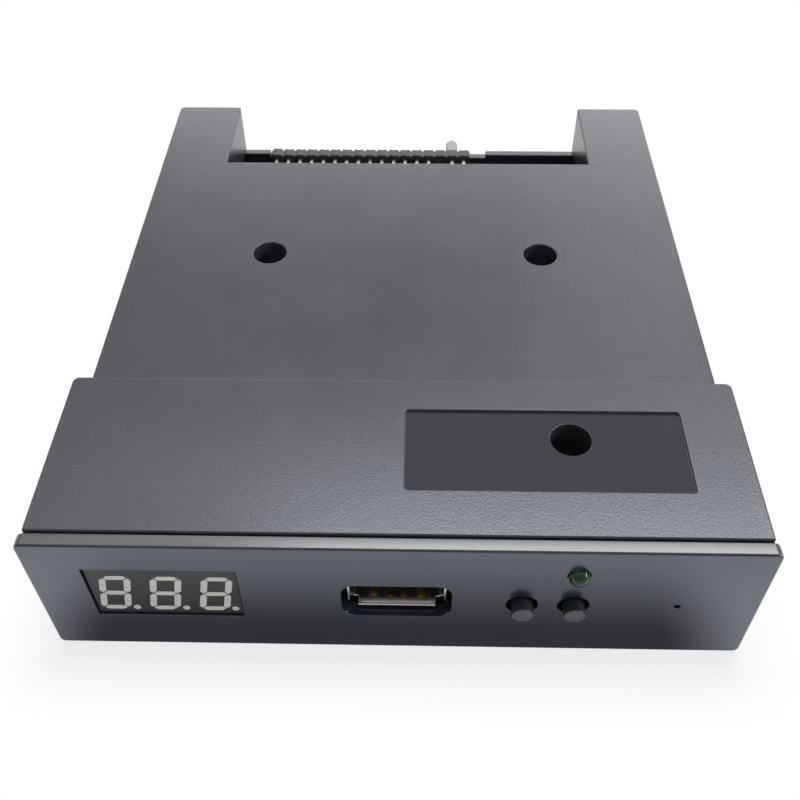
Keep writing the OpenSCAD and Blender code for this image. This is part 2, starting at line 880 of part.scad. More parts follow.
module light_spacer() {
    channel = lead_w / 2 + lead_slack;
    color("#1b1c1f") placed() difference() {
        box(
            [light_at[0] - spacer_half_w, spacer_span[0], split_z],
            [light_at[0] + spacer_half_w, spacer_span[1], spacer_top]
        );
        for (side = [-1, 1]) {
            x = light_at[0] + side * lead_half_gap;
            box(
                [x - channel, lead_drop - channel, split_z - cut],
                [x + channel, lead_drop + channel, light_at[1] + channel]
            );
            box(
                [x - channel, spacer_span[0] - cut, light_at[1] - channel],
                [x + channel, lead_drop + channel, light_at[1] + channel]
            );
        }
    }
}

// Rear connectors

module floppy_header_body() {
    half = header_columns * pin_pitch / 2;
    hole = pin_w + pin_slack;
    color("#1b1c1f") placed() difference() {
        box([header_x - half, header_start, split_z], [header_x + half, header_end, split_z + header_h]);
        for (column = [0:header_columns - 1], z = pin_rows_z)
            translate([header_pin_x(column), header_start, z])
                cube([hole, 3 * pin_pitch, hole], center = true);
        for (edge = [0:header_columns])
            translate([header_x - half + edge * pin_pitch, header_start, split_z + header_h])
                rotate([0, 45, 0]) cube([scallop, 3 * pin_pitch, scallop], center = true);
    }
}

module floppy_header_pins() {
    color("#d0c6a8") placed() for (column = [0:header_columns - 1], row = [0, 1])
        if (row == 0 || column != key_column)
            bent_pin(header_pin_x(column), pin_rows_z[row], pin_legs[row], pin_tip, pin_w);
}

// The jumper cap's plan, with round corners at the end that is gripped
module jumper_plan() {
    length = jumper_span[1] - jumper_span[0];
    inset = jumper_half_w - jumper_round;
    translate([jumper_x, jumper_span[0]]) {
        translate([-jumper_half_w, 0]) square([2 * jumper_half_w, length - jumper_round]);
        translate([-inset, 0]) square([2 * inset, length]);
        for (side = [-1, 1]) translate([side * inset, length - jumper_round]) circle(jumper_round);
    }
}

module jumper_cap() {
    color("#e6e2d6") placed() difference() {
        translate([0, 0, jumper_z[0]]) linear_extrude(jumper_z[1] - jumper_z[0]) jumper_plan();
        box(
            [jumper_x - jumper_chamber[0], jumper_span[0] - cut, jumper_z[0] + jumper_chamber[1]],
            [jumper_x + jumper_chamber[0], jumper_span[1] - jumper_exit[1], jumper_z[1] - jumper_chamber[1]]
        );
        box(
            [jumper_x - jumper_exit[0], jumper_span[0], jumper_z[0] + jumper_chamber[1]],
            [jumper_x + jumper_exit[0], jumper_span[1] + cut, jumper_z[1] - jumper_chamber[1]]
        );
    }
}

module jumper_clip() {
    wall_x = jumper_x + jumper_chamber[0];
    leaf_end = jumper_span[1] - jumper_exit[1] - jumper_leaf_inset[0];
    leaf_rise = jumper_chamber[1] + jumper_leaf_inset[1];
    color("#d6b65c") placed()
        box(
            [wall_x - jumper_leaf, jumper_span[0] + jumper_leaf_inset[0], jumper_z[0] + leaf_rise],
            [wall_x, leaf_end, jumper_z[1] - leaf_rise]
        );
}

module power_socket_body() {
    low = [power_x - power_size[0] / 2, power_start, split_z];
    hole = pin_w + pin_slack;
    color("#e6e2d6") placed() difference() {
        box(low, low + power_size);
        box(
            low + [power_wall, power_back, power_wall],
            low + power_size + [-power_wall, cut, -power_wall]
        );
        for (i = [0:power_pins - 1])
            translate([power_pin_x(i), power_start, power_pin_z])
                cube([hole, 3 * power_back, hole], center = true);
    }
}

module power_socket_pins() {
    color("#c9c9c4") placed() for (i = [0:power_pins - 1])
        bent_pin(power_pin_x(i), power_pin_z, power_leg, power_end - power_pin_inset, pin_w);
}

// Board components

module microcontroller() {
    color("#232427") placed() chip(mcu_at, mcu_size);
}

module microcontroller_legs() {
    color("#c9c9c4") placed() translate([mcu_at[0], mcu_at[1], 0]) for (turn = [0, 90])
        rotate(turn) chip_legs([0, 0], mcu_size, mcu_legs, mcu_leg_pitch, mcu_leg_w);
}

module crystal() {
    r = crystal_size[1] / 2;
    color("#bfc1c4") placed() translate([crystal_at[0], crystal_at[1], split_z])
        linear_extrude(crystal_size[2]) {
            square([crystal_size[0] - 2 * r, 2 * r], center = true);
            for (side = [-1, 1]) translate([side * (crystal_size[0] / 2 - r), 0]) circle(r);
        }
}

module voltage_regulator() {
    color("#232427") placed() chip(regulator_at, regulator_size);
}

module regulator_legs() {
    y = (regulator_size[1] + leg_reach) / 2;
    leg_pitch = 2.3;
    leg = [0.7, leg_reach, leg_t];
    tab = [3, leg_reach, leg_t];
    color("#c9c9c4") placed() {
        for (i = [-1:1]) seated_box(regulator_at + [i * leg_pitch, -y], split_z, leg);
        seated_box(regulator_at + [0, y], split_z, tab);
    }
}

module line_drivers() {
    color("#232427") placed() for (at = driver_places) chip(at, driver_size);
}

module line_driver_legs() {
    color("#c9c9c4") placed() for (at = driver_places)
        chip_legs(at, driver_size, driver_legs, driver_leg_pitch, driver_leg_w);
}

module capacitor_foot() {
    color("#1b1c1f") placed() seated_box(capacitor_at, split_z, capacitor_base);
}

module capacitor_can() {
    color("#c4c6c9") placed() translate([capacitor_at[0], capacitor_at[1], split_z + capacitor_base[2]])
        cylinder(d = capacitor_d, h = capacitor_h - capacitor_base[2]);
}

module fuse() {
    color("#3f7a4a") placed() seated_box(fuse_at, split_z, fuse_size);
}

module chip_resistors() {
    color("#232427") placed() for (i = [0:resistor_count - 1])
        seated_box(resistor_start + [i * resistor_pitch, 0], split_z, chip_part);
}

module chip_capacitors() {
    color("#a98a63") placed() for (i = [0:decoupling_count - 1])
        seated_box(
            mcu_at + decoupling_ring * [cos(i * 360 / decoupling_count), sin(i * 360 / decoupling_count)],
            split_z, chip_part
        );
}

top_cover();
bottom_tray();
front_bezel();
case_screws();
main_board();
display_board();
display_housing();
display_segments();
display_pins();
display_link_body();
display_link_pins();
display_driver();
display_driver_legs();
usb_shell();
usb_tongue();
usb_contacts();
left_button();
right_button();
left_switch_body();
right_switch_body();
left_switch_plate();
right_switch_plate();
left_snap_dome();
right_snap_dome();
switch_leads();
status_light();
light_leads();
light_spacer();
floppy_header_body();
floppy_header_pins();
jumper_cap();
jumper_clip();
power_socket_body();
power_socket_pins();
microcontroller();
microcontroller_legs();
crystal();
voltage_regulator();
regulator_legs();
line_drivers();
line_driver_legs();
capacitor_can();
capacitor_foot();
fuse();
chip_resistors();
chip_capacitors();
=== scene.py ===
import json
import math

import bmesh
import bpy
from mathutils import Matrix, Vector


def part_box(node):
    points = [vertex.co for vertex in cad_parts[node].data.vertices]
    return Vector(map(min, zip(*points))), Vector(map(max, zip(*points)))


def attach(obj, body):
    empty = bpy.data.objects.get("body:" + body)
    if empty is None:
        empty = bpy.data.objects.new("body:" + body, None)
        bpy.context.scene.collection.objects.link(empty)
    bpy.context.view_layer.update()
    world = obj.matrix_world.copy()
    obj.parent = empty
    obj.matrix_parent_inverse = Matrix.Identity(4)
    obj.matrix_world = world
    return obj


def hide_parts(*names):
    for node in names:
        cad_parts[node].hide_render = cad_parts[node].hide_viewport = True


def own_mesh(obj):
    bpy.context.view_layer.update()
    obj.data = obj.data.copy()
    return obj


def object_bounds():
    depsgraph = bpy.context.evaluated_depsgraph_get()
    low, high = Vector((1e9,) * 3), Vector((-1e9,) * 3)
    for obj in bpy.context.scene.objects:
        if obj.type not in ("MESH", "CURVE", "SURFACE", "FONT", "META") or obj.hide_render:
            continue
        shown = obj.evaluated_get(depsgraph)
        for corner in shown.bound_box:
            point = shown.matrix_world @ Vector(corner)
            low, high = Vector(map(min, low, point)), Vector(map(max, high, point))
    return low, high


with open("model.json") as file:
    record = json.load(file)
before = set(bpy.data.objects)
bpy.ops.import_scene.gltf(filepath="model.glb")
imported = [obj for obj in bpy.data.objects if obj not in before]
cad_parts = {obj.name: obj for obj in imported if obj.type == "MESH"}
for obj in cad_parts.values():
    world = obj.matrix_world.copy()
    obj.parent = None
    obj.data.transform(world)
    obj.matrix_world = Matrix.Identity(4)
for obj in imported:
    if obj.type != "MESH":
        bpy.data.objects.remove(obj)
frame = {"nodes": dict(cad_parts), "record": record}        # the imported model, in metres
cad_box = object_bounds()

MM = 0.001
WHITE = (1, 1, 1, 1)
RIGHT = Vector((1, 0, 0))
BACK = Vector((0, 1, 0))
UP = Vector((0, 0, 1))
BEZEL_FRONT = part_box("front_bezel")[0].y
BOARD_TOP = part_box("main_board")[1].z
SLOT_OF = {part["node"]: part["material_slot"] for part in frame["record"]["subparts"]}
BODY_OF = {node: body for body, nodes in frame["record"]["behaviour"]["bodies"].items() for node in nodes}

# Camera, fitted to the photograph: degrees, millimetres, and pixels of its square frame
CAMERA_DOWN = 47.24
CAMERA_ROLL = 0.53
CAMERA_LEFT = 1.55
CAMERA_FROM_BEZEL = Vector((2.69, -71.30, 131.64))
FOCAL_PIXELS = 966.2
FRAME_PIXELS = 800
SENSOR_WIDTH = 36
NEAREST_SEEN = 5

# Surround: brightness, and the backward share of a direction where it starts and stops brightening
SKY_LIGHT = 0.38
SKY_FRONT = 0.3
SKY_FADE = -0.6, 0.25

# Floor: metres, with its drop below the object in millimetres
FLOOR_SIZE = 4.0
FLOOR_DROP = 0.05
FLOOR_COLOUR = (0.88, 0.88, 0.88, 1)
FLOOR_ROUGHNESS = 0.9
FLOOR_GLOW = 1.0
SHADOW_SEEN = -0.024, 0.012
# Reflections see a painted shadow on the floor near the object: a darker glow over a plan narrower than the
# object's and set a little aside
SHADOW_MIRRORED = 0.001, 0.017
SHADOW_NARROWER = 0.01
SHADOW_ASIDE = -0.002
MIRRORED_DARK = 0.14     # share of the glow that is mirrored close to the object

# Tints of the gloss on the plastics
CASE_SHEEN = (0.88, 0.905, 1, 1)
BEZEL_SHEEN = (0.82, 0.865, 1, 1)

# Edges and faces, in degrees and millimetres
SMOOTH_ANGLE = 35
SHARP_ANGLE = 40
FLAT_ANGLE = 0.5
MERGE_DISTANCE = 0.0005
ON_PLANE = 0.01
FACES_UP = 0.9           # least upward share of a normal
ROOM_IN_RADII = 2.2      # how wide a face has to be for a rounded edge
ROUNDER_FROM = 0.2       # radius from which an edge is rounded in three steps
SPIN_STEPS = 48
EDGE_RADIUS = {
    "bottom_tray": 0.25, "display_housing": 0.08, "display_segments": 0.04,
    "usb_shell": 0.08, "usb_tongue": 0.12, "usb_contacts": 0.05,
    "floppy_header_body": 0.3, "jumper_cap": 0.4, "jumper_clip": 0.05, "power_socket_body": 0.15,
    "main_board": 0.05, "display_board": 0.05, "case_screws": 0.12,
    "line_drivers": 0.12, "microcontroller": 0.12, "voltage_regulator": 0.12, "display_driver": 0.12,
    "chip_resistors": 0.04, "chip_capacitors": 0.04, "capacitor_foot": 0.1, "crystal": 0.3, "fuse": 0.1,
}

# Case, in millimetres: the rims near the recess are crisper than the other edges
COVER_EDGE = 0.3
COVER_RIM_EDGE = 0.1
COVER_RIMS_ASIDE = 42
COVER_RIMS_FRONT = 5
COVER_RIMS_BACK = 29
RECESS_CUT = 0.4
BEZEL_EDGE = 0.35
BEZEL_RIM = 1.5
BEZEL_RIM_EDGE = 0.1
BEZEL_FRONT_LAYER = 0.5

# Buttons, in millimetres: radii, and depths from the tip
BUTTON_STEM = 1.55
BUTTON_CROWN = 0.08
BUTTON_EDGE = 0.25
BUTTON_EDGE_STEPS = 5
BUTTON_FLANGE = 2.2
BUTTON_FLANGE_AT = 6.35
BUTTON_FLANGE_DEPTH = 0.6
BUTTON_NUB = 0.8
GATE_STUB = [(0.2, 0), (0.27, 0.07)]
TIP_FACES_FRONT = 0.7    # least forward share of a normal

# Status light, in millimetres from the middle of its dome
LIGHT_RADIUS = 1.5
LIGHT_FLANGE_DEPTH = 0.8
LIGHT_DOME_STEPS = 12
LEAD_CUP = [
    (0, 1.15), (0.18, 1.15), (0.45, 0.75), (0.55, 0.75), (0.55, 1.5), (0.3, 1.7), (0.3, 3.9), (0, 3.9),
]
LEAD_CUP_AT = Vector((-0.25, 0, 0))
LEAD_POST_AT = Vector((0.75, 2.2, 0))
LEAD_POST_BEFORE = Vector((0.25, 0.8, 0.25))
LEAD_POST_BEHIND = Vector((0.25, 1.7, 0.25))
LEAD_POST_EDGE = 0.08

# USB springs, in millimetres, with the socket's middle above the base and half its height inside
USB_MIDDLE = 12.7
USB_HALF_HEIGHT = 2.56
SPRING_FLOOR_BOW = 0.62
SPRING_ROOF_BOW = 0.38
SPRING_ASIDE = 3.1
SPRING_WIDTH = 2.2
SPRING_SHEET = 0.16

# Rear connectors, in millimetres: the solder fillet is a profile of radius and height
REAR_PINS = "floppy_header_pins", "power_socket_pins"
PIN_SIDE = 0.64
PIN_BEND = 0.45
PIN_BEND_STEPS = 4
PIN_BEND_REACH = 3.5
PIN_ABOVE_BOARD = 0.5
PIN_TAPER_LENGTH = 0.5
PIN_TAPER = 0.5          # share of the side that is left at the tip
PIN_ACROSS = 0.99        # least sideways share of an edge across a pin
PIN_DECIMALS = 6         # of a metre
SOLDER_FILLET = [(0.85, 0), (0.8, 0.05), (0.55, 0.14), (0.42, 0.4), (0.3, 0.42), (0.3, 0), (0.85, 0)]

# Copper of the boards, in millimetres, with the vias as a share of their cells
TRACK_PITCH = 0.9
TRACK_WIDTH = 0.36
TRACK_PATCH = 7
VIA_CELL = 3.1
VIA_SHARE = 0.11

# Chip legs, in millimetres: the chips that they belong to, and the height at which they leave
LEG_SHEET = 0.13
LEGS = {
    "line_driver_legs": ("line_drivers", 0.75),
    "microcontroller_legs": ("microcontroller", 0.7),
    "regulator_legs": ("voltage_regulator", 0.8),
}

# Ends of the chip resistors and capacitors, in millimetres
CHIP_END = 0.42
CHIP_END_SKIN = Vector((0.02, 0.02, 0.02))
CHIP_END_EDGE = 0.05

# Capacitor can, in millimetres: insets, with heights from its foot or drops from its top
CAN_FOOT = 0.2
CAN_NECK = [(0, 0.7), (0.3, 0.95), (0, 1.2)]
CAN_SHOULDER = [(0, 0.4), (0.12, 0.12), (0.4, 0)]


class Value:
    """The output of a node, which takes part in ordinary arithmetic."""

    def __init__(self, paint, socket):
        self.paint = paint
        self.socket = socket

    def _math(self, operation, first, second):
        return self.paint.node("ShaderNodeMath", {"operation": operation}, {0: first, 1: second})

    def __add__(self, other):
        return self._math("ADD", self, other)

    def __radd__(self, other):
        return self._math("ADD", other, self)

    def __sub__(self, other):
        return self._math("SUBTRACT", self, other)

    def __rsub__(self, other):
        return self._math("SUBTRACT", other, self)

    def __mul__(self, other):
        return self._math("MULTIPLY", self, other)

    def __rmul__(self, other):
        return self._math("MULTIPLY", other, self)

    def __gt__(self, other):
        return self._math("GREATER_THAN", self, other)

    def __lt__(self, other):
        return self._math("LESS_THAN", self, other)

    def __mod__(self, other):
        return self._math("FLOORED_MODULO", self, other)

    def __or__(self, other):
        return self._math("MAXIMUM", self, other)


class Nodes:
    """The node tree of a material or of the world."""

    def __init__(self, tree):
        self.tree = tree

    def node(self, kind, settings, sockets, output=0):
        """Adds a node, sets it up, then gives its sockets their values or links."""
        made = self.tree.nodes.new(kind)
        for setting, value in settings.items():
            setattr(made, setting, value)
        for socket, value in sockets.items():
            self.feed(made.inputs[socket], value)
        return Value(self, made.outputs[output])

    def feed(self, socket, value):
        """Links a value to a socket, or sets a plain number or colour on it."""
        if isinstance(value, Value):
            self.tree.links.new(value.socket, socket)
        else:
            socket.default_value = value

    def ray(self, kind):
        """1 for rays of a kind, 0 for others."""
        return self.node("ShaderNodeLightPath", {}, {}, "Is %s Ray" % kind)

    def vector(self, operation, *vectors, output="Vector"):
        """A vector, or a number of it, worked out from vectors."""
        return self.node("ShaderNodeVectorMath", {"operation": operation}, dict(enumerate(vectors)), output)

    def band(self, value, low, high):
        """A soft step from 0 at low to 1 at high."""
        sockets = {"Value": value, "From Min": low, "From Max": high}
        return self.node("ShaderNodeMapRange", {"interpolation_type": "SMOOTHSTEP"}, sockets)


class Paint(Nodes):
    """One finish: a Principled shader and the nodes that feed it."""

    def __init__(self, name, **plain):
        self.material = bpy.data.materials.new(name)
        self.material.use_nodes = True
        super().__init__(self.material.node_tree)
        self.shader = self.tree.nodes["Principled BSDF"]
        self.give(**plain)

    def give(self, **sockets):
        """Feeds the shader's own sockets."""
        for socket, value in sockets.items():
            self.feed(self.shader.inputs[socket.replace("_", " ")], value)

    def place(self):
        """The point of the piece that is being shaded, in metres."""
        return self.node("ShaderNodeTexCoord", {}, {}, "Object")

    def axis(self, name):
        """One coordinate of that point, in millimetres."""
        return self.node("ShaderNodeSeparateXYZ", {}, {0: self.place()}, name) * (1 / MM)

    def noise(self, size, detail=2.0, stretch=(1, 1, 1)):
        """Noise about 0.5 with blotches of a size in millimetres."""
        scale = [side / (size * MM) for side in stretch]
        where = self.node("ShaderNodeMapping", {}, {"Vector": self.place(), "Scale": scale})
        return self.node("ShaderNodeTexNoise", {}, {"Vector": where, "Scale": 1.0, "Detail": detail})

    def cells(self, size, output, settings):
        """A Voronoi pattern with cells of a size in millimetres."""
        where = self.node("ShaderNodeMapping", {}, {"Vector": self.place(), "Scale": [1 / (size * MM)] * 3})
        return self.node("ShaderNodeTexVoronoi", settings, {"Vector": where, "Scale": 1.0}, output)

    def mix(self, factor, first, second):
        """A colour between two colours."""
        return self.node("ShaderNodeMix", {"data_type": "RGBA"}, {0: factor, 6: first, 7: second}, 2)

    def bump(self, height, depth):
        """Raises the surface by a height map whose full range is a depth in millimetres."""
        self.give(Normal=self.node("ShaderNodeBump", {}, {"Height": height, "Distance": depth * MM}))


def grey(level, cool=0.0):
    """A grey as a colour, a little bluish where cool is above 0."""
    return (level * (1 - cool), level, level * (1 + 2 * cool), 1)


def scaled(colour, share):
    """A colour made darker or paler by a share."""
    return tuple(channel * share for channel in colour[:3]) + (1,)


# Finishes

def moulded_plastic(name, level, gloss, grain, depth, cool, skin=0.0, sheen=WHITE):
    """Moulded plastic with the fine spark grain of its mould, and a clear skin where it shines."""
    paint = Paint(
        name, IOR=1.53, Specular_Tint=sheen,
        Coat_Weight=skin, Coat_Roughness=gloss, Coat_IOR=1.55, Coat_Tint=sheen,
    )
    fine = paint.noise(size=grain, detail=3)
    cloud = paint.noise(size=14, detail=3)
    shade = paint.band(cloud * 0.7 + fine * 0.3, low=0.3, high=0.7)
    paint.give(
        Base_Color=paint.mix(shade, grey(level * 0.9, cool), grey(level * 1.1, cool)),
        Roughness=gloss - 0.03 + 0.04 * cloud + 0.03 * fine,
    )
    paint.bump(fine, depth)
    return paint.material


def polished_plastic(name, level, gloss, cool):
    """The case's plastic where its mould was polished: faint flow lines and no grain."""
    paint = Paint(name, IOR=1.5, Specular_Tint=CASE_SHEEN)
    flow = paint.noise(size=5, stretch=(0.25, 1, 1))
    haze = paint.noise(size=1.2, detail=3)
    paint.give(
        Base_Color=paint.mix(flow, grey(level * 0.9, cool), grey(level * 1.1, cool)),
        Roughness=gloss - 0.02 + 0.04 * haze,
    )
    paint.bump(haze, depth=0.0015)
    return paint.material


def display_epoxy(name):
    """Black filled face of the display, slightly mottled."""
    paint = Paint(name, IOR=1.62)
    mottle = paint.noise(size=0.5, detail=3)
    paint.give(
        Base_Color=paint.mix(mottle, grey(0.014, 0.03), grey(0.028, 0.03)),
        Roughness=0.34 + 0.14 * mottle,
    )
    paint.bump(mottle, depth=0.004)
    return paint.material


def milky_segments(name):
    """Unlit light guides: milky resin with fine scattering beads."""
    paint = Paint(name, IOR=1.5)
    beads = paint.noise(size=0.16)
    cloud = paint.noise(size=1.4)
    paint.give(
        Base_Color=paint.mix(beads * 0.5 + cloud * 0.5, (0.6, 0.6, 0.57, 1), (0.94, 0.94, 0.9, 1)),
        Roughness=0.3 + 0.2 * beads,
    )
    paint.bump(beads, depth=0.006)
    return paint.material


def plated_metal(name, colour, gloss, drawn=(1, 1, 1)):
    """Plated metal with the faint lines of its rolling and small dull spots."""
    paint = Paint(name, Metallic=1.0)
    lines = paint.noise(size=0.35, detail=3, stretch=drawn)
    tarnish = paint.noise(size=2.5, detail=4)
    stained = paint.band(tarnish, low=0.42, high=0.68)
    dulled = paint.band(tarnish, low=0.5, high=0.75)
    paint.give(
        Base_Color=paint.mix(stained, colour, scaled(colour, 0.78)),
        Roughness=gloss + 0.12 * lines + 0.1 * dulled,
    )
    paint.bump(lines, depth=0.003)
    return paint.material


def filled_nylon(name, level, warm=0.0):
    """Glass filled nylon: dull, with short fibres showing through the skin."""
    paint = Paint(name, IOR=1.52)
    fibres = paint.noise(size=0.22, stretch=(0.2, 1, 1))
    skin = paint.noise(size=0.8, detail=3)

    def tone(share):
        return (level * share * (1 + warm), level * share, level * share * (1 - warm), 1)

    paint.give(
        Base_Color=paint.mix(fibres * 0.6 + skin * 0.4, tone(0.8), tone(1.35)),
        Roughness=0.42 + 0.2 * skin,
    )
    paint.bump(fibres * 0.5 + skin * 0.5, depth=0.008)
    return paint.material


def tinted_lens(name):
    """Green epoxy lens of the status light, with the faint swirl of its casting."""
    paint = Paint(name, IOR=1.5, Transmission_Weight=0.92)
    swirl = paint.noise(size=0.9)
    paint.give(
        Base_Color=paint.mix(swirl, (0.08, 0.4, 0.15, 1), (0.13, 0.52, 0.21, 1)),
        Roughness=0.01 + 0.03 * swirl,
    )
    paint.bump(swirl, depth=0.0006)
    return paint.material


def solder_mask(name):
    """Green solder mask over copper tracks, with small plated vias."""
    paint = Paint(name, IOR=1.5)
    patch = paint.cells(TRACK_PATCH, "Color", {"distance": "CHEBYCHEV"})
    turned = paint.node("ShaderNodeSeparateColor", {}, {0: patch}, 0) > 0.5
    across = (paint.axis("X") % TRACK_PITCH) < TRACK_WIDTH
    along = (paint.axis("Y") % TRACK_PITCH) < TRACK_WIDTH
    track = across * turned + along * (1 - turned)
    via = paint.cells(VIA_CELL, "Distance", {}) < VIA_SHARE
    laminate = paint.noise(size=0.3)
    mask = paint.mix(track, (0.007, 0.036, 0.016, 1), (0.014, 0.066, 0.028, 1))
    paint.give(
        Base_Color=paint.mix(via, mask, (0.55, 0.55, 0.5, 1)),
        Metallic=via * 0.9,
        Roughness=0.28 + 0.12 * laminate,
    )
    paint.bump(track * 0.8 + laminate * 0.2, depth=0.03)
    return paint.material


def moulding_compound(name):
    """Black chip compound with the sandy face that its mould leaves."""
    paint = Paint(name, IOR=1.5)
    sand = paint.noise(size=0.12, detail=3)
    cloud = paint.noise(size=2.2)
    paint.give(
        Base_Color=paint.mix(cloud, grey(0.016), grey(0.03)),
        Roughness=0.5 + 0.22 * sand,
    )
    paint.bump(sand, depth=0.012)
    return paint.material


def fired_ceramic(name, colour):
    """Fired ceramic body, slightly speckled."""
    paint = Paint(name, IOR=1.55)
    speckle = paint.noise(size=0.1)
    paint.give(
        Base_Color=paint.mix(speckle, colour, scaled(colour, 1.25)),
        Roughness=0.4 + 0.25 * speckle,
    )
    paint.bump(speckle, depth=0.006)
    return paint.material


FINISH = {
    "case_plastic": moulded_plastic(
        "case_plastic", level=0.042, gloss=0.25, grain=0.34, depth=0.024, cool=0.08, sheen=CASE_SHEEN
    ),
    "bezel_plastic": moulded_plastic(
        "bezel_plastic", level=0.022, gloss=0.23, grain=0.22, depth=0.005, cool=0.2, skin=1.0,
        sheen=BEZEL_SHEEN,
    ),
    "screw_steel": plated_metal("screw_steel", (0.52, 0.52, 0.54, 1), gloss=0.28, drawn=(1, 1, 0.2)),
    "board_green": solder_mask("board_green"),
    "display_black": display_epoxy("display_black"),
    "segment_white": milky_segments("segment_white"),
    "tin": plated_metal("tin", (0.66, 0.65, 0.62, 1), gloss=0.3),
    "nickel_sheet": plated_metal("nickel_sheet", (0.93, 0.91, 0.87, 1), gloss=0.12, drawn=(1, 0.1, 1)),
    "gold_plating": plated_metal("gold_plating", (0.83, 0.62, 0.28, 1), gloss=0.2),
    "pin_plating": plated_metal("pin_plating", (0.9, 0.87, 0.8, 1), gloss=0.24, drawn=(1, 0.15, 1)),
    "black_nylon": filled_nylon("black_nylon", level=0.022),
    "button_grey": moulded_plastic("button_grey", level=0.018, gloss=0.4, grain=0.3, depth=0.004, cool=0.05),
    "light_green": tinted_lens("light_green"),
    "natural_nylon": filled_nylon("natural_nylon", level=0.33, warm=0.03),
    "chip_black": moulding_compound("chip_black"),
    "can_aluminium": plated_metal("can_aluminium", (0.72, 0.73, 0.74, 1), gloss=0.24, drawn=(1, 1, 0.1)),
    "ceramic_tan": fired_ceramic("ceramic_tan", (0.36, 0.24, 0.13, 1)),
    "fuse_green": fired_ceramic("fuse_green", (0.04, 0.17, 0.08, 1)),
}
RECESS_FINISH = polished_plastic("recess_plastic", level=0.02, gloss=0.07, cool=0.15)
# Satin copy of the bezel's plastic for its upward faces; its paler colour is painted light on the top.
SATIN_AND_PAINTED_LIGHT_TOP_FINISH = moulded_plastic(
    "bezel_top_satin_and_painted_light", level=0.032, gloss=0.24, grain=0.22, depth=0.004, cool=0.06, skin=0.34
)
# A paler copy of the button's plastic for its tip: painted light, standing in for the floor's reflection on
# it.
PAINTED_LIGHT_TIP_FINISH = moulded_plastic("button_tip_painted_light", level=0.1, gloss=0.42, grain=0.2, depth=0.006, cool=0.02)


# Making pieces

def finished(name, shape, slot, body, replaced=(), second_finish=None):
    """Turns a bmesh into a piece of the object, on its body and with its finish."""
    mesh = bpy.data.meshes.new(name)
    shape.to_mesh(mesh)
    shape.free()
    mesh.materials.append(FINISH[slot])
    if second_finish:
        mesh.materials.append(second_finish)
    for polygon in mesh.polygons:
        polygon.use_smooth = True
    mesh.set_sharp_from_angle(angle=math.radians(SMOOTH_ANGLE))
    piece = bpy.data.objects.new(name, mesh)
    bpy.context.scene.collection.objects.link(piece)
    piece.modifiers.new("even_shading", "WEIGHTED_NORMAL").keep_sharp = True
    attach(piece, body)
    if replaced:
        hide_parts(*replaced)
    return piece


def merged_copy(node):
    """A node's solid as a closed mesh with its flat faces whole."""
    copy = bmesh.new()
    copy.from_mesh(frame["nodes"][node].data)
    bmesh.ops.remove_doubles(copy, verts=copy.verts, dist=MERGE_DISTANCE * MM)
    bmesh.ops.dissolve_limit(copy, angle_limit=math.radians(FLAT_ANGLE), verts=copy.verts, edges=copy.edges)
    return copy


def room_beside(edge):
    """How far the narrower face at an edge reaches back from it."""
    return min(face.calc_area() for face in edge.link_faces) / edge.calc_length()


def middle(edge):
    """The middle of an edge, in metres."""
    return (edge.verts[0].co + edge.verts[1].co) / 2


def bevel(shape, edges, radius, steps, clamp=False):
    """Rounds edges by a radius in millimetres."""
    bmesh.ops.bevel(
        shape, geom=edges, offset=radius * MM, offset_type="OFFSET", segments=steps,
        profile=0.5, affect="EDGES", material=-1, clamp_overlap=clamp,
    )


def round_edges(shape, radius, steps, where=None):
    """Rounds the sharp edges that have room for the radius in millimetres."""
    edges = []
    for edge in shape.edges:
        if len(edge.link_faces) != 2 or edge.calc_face_angle() < math.radians(SHARP_ANGLE):
            continue
        if room_beside(edge) > ROOM_IN_RADII * radius * MM and (where is None or where(middle(edge))):
            edges.append(edge)
    bevel(shape, edges, radius, steps)


def dress(node, radius):
    """Replaces a node by a copy with rounded edges, in its slot's finish."""
    copy = merged_copy(node)
    round_edges(copy, radius, steps=3 if radius >= ROUNDER_FROM else 2)
    finished(node + "_dressed", copy, SLOT_OF[node], BODY_OF[node], (node,))


def arc(centre, radius, start, end, steps):
    """Points of radius and depth round a centre, between two angles in degrees from the depth's line."""
    turns = [math.radians(start + (end - start) * i / steps) for i in range(steps + 1)]
    return [(centre[0] + radius * math.sin(a), centre[1] - radius * math.cos(a)) for a in turns]


def spun(points, foot, along, shape=None):
    """Turns a profile of radius and depth in millimetres about a line through a foot point."""
    shape = shape or bmesh.new()
    ring = [shape.verts.new(foot + (RIGHT * radius + along * depth) * MM) for radius, depth in points]
    line = [shape.edges.new(pair) for pair in zip(ring, ring[1:])]
    bmesh.ops.spin(
        shape, geom=ring + line, cent=foot, axis=along, angle=2 * math.pi, steps=SPIN_STEPS, use_merge=True
    )
    bmesh.ops.remove_doubles(shape, verts=shape.verts, dist=MERGE_DISTANCE * MM)
    bmesh.ops.recalc_face_normals(shape, faces=shape.faces)
    return shape


def block(shape, low, high, radius):
    """Adds a box between two corners, with its edges rounded by a radius in millimetres."""
    size = high - low
    place = Matrix.Translation((low + high) / 2) @ Matrix.Diagonal((*size, 1))
    made = bmesh.ops.create_cube(shape, size=1, matrix=place)["verts"]
    edges = list(dict.fromkeys(edge for vert in made for edge in vert.link_edges))
    bevel(shape, edges, radius, steps=2, clamp=True)


def strip(shape, path, across, thickness):
    """Adds a bent strip of sheet: a path of points swept across, then given its thickness."""
    near = [shape.verts.new(point - across / 2) for point in path]
    edges = [shape.edges.new(pair) for pair in zip(near, near[1:])]
    swept = bmesh.ops.extrude_edge_only(shape, edges=edges)["geom"]
    far = [part for part in swept if isinstance(part, bmesh.types.BMVert)]
    faces = [part for part in swept if isinstance(part, bmesh.types.BMFace)]
    bmesh.ops.translate(shape, verts=far, vec=across)
    bmesh.ops.solidify(shape, geom=faces, thickness=thickness * MM)


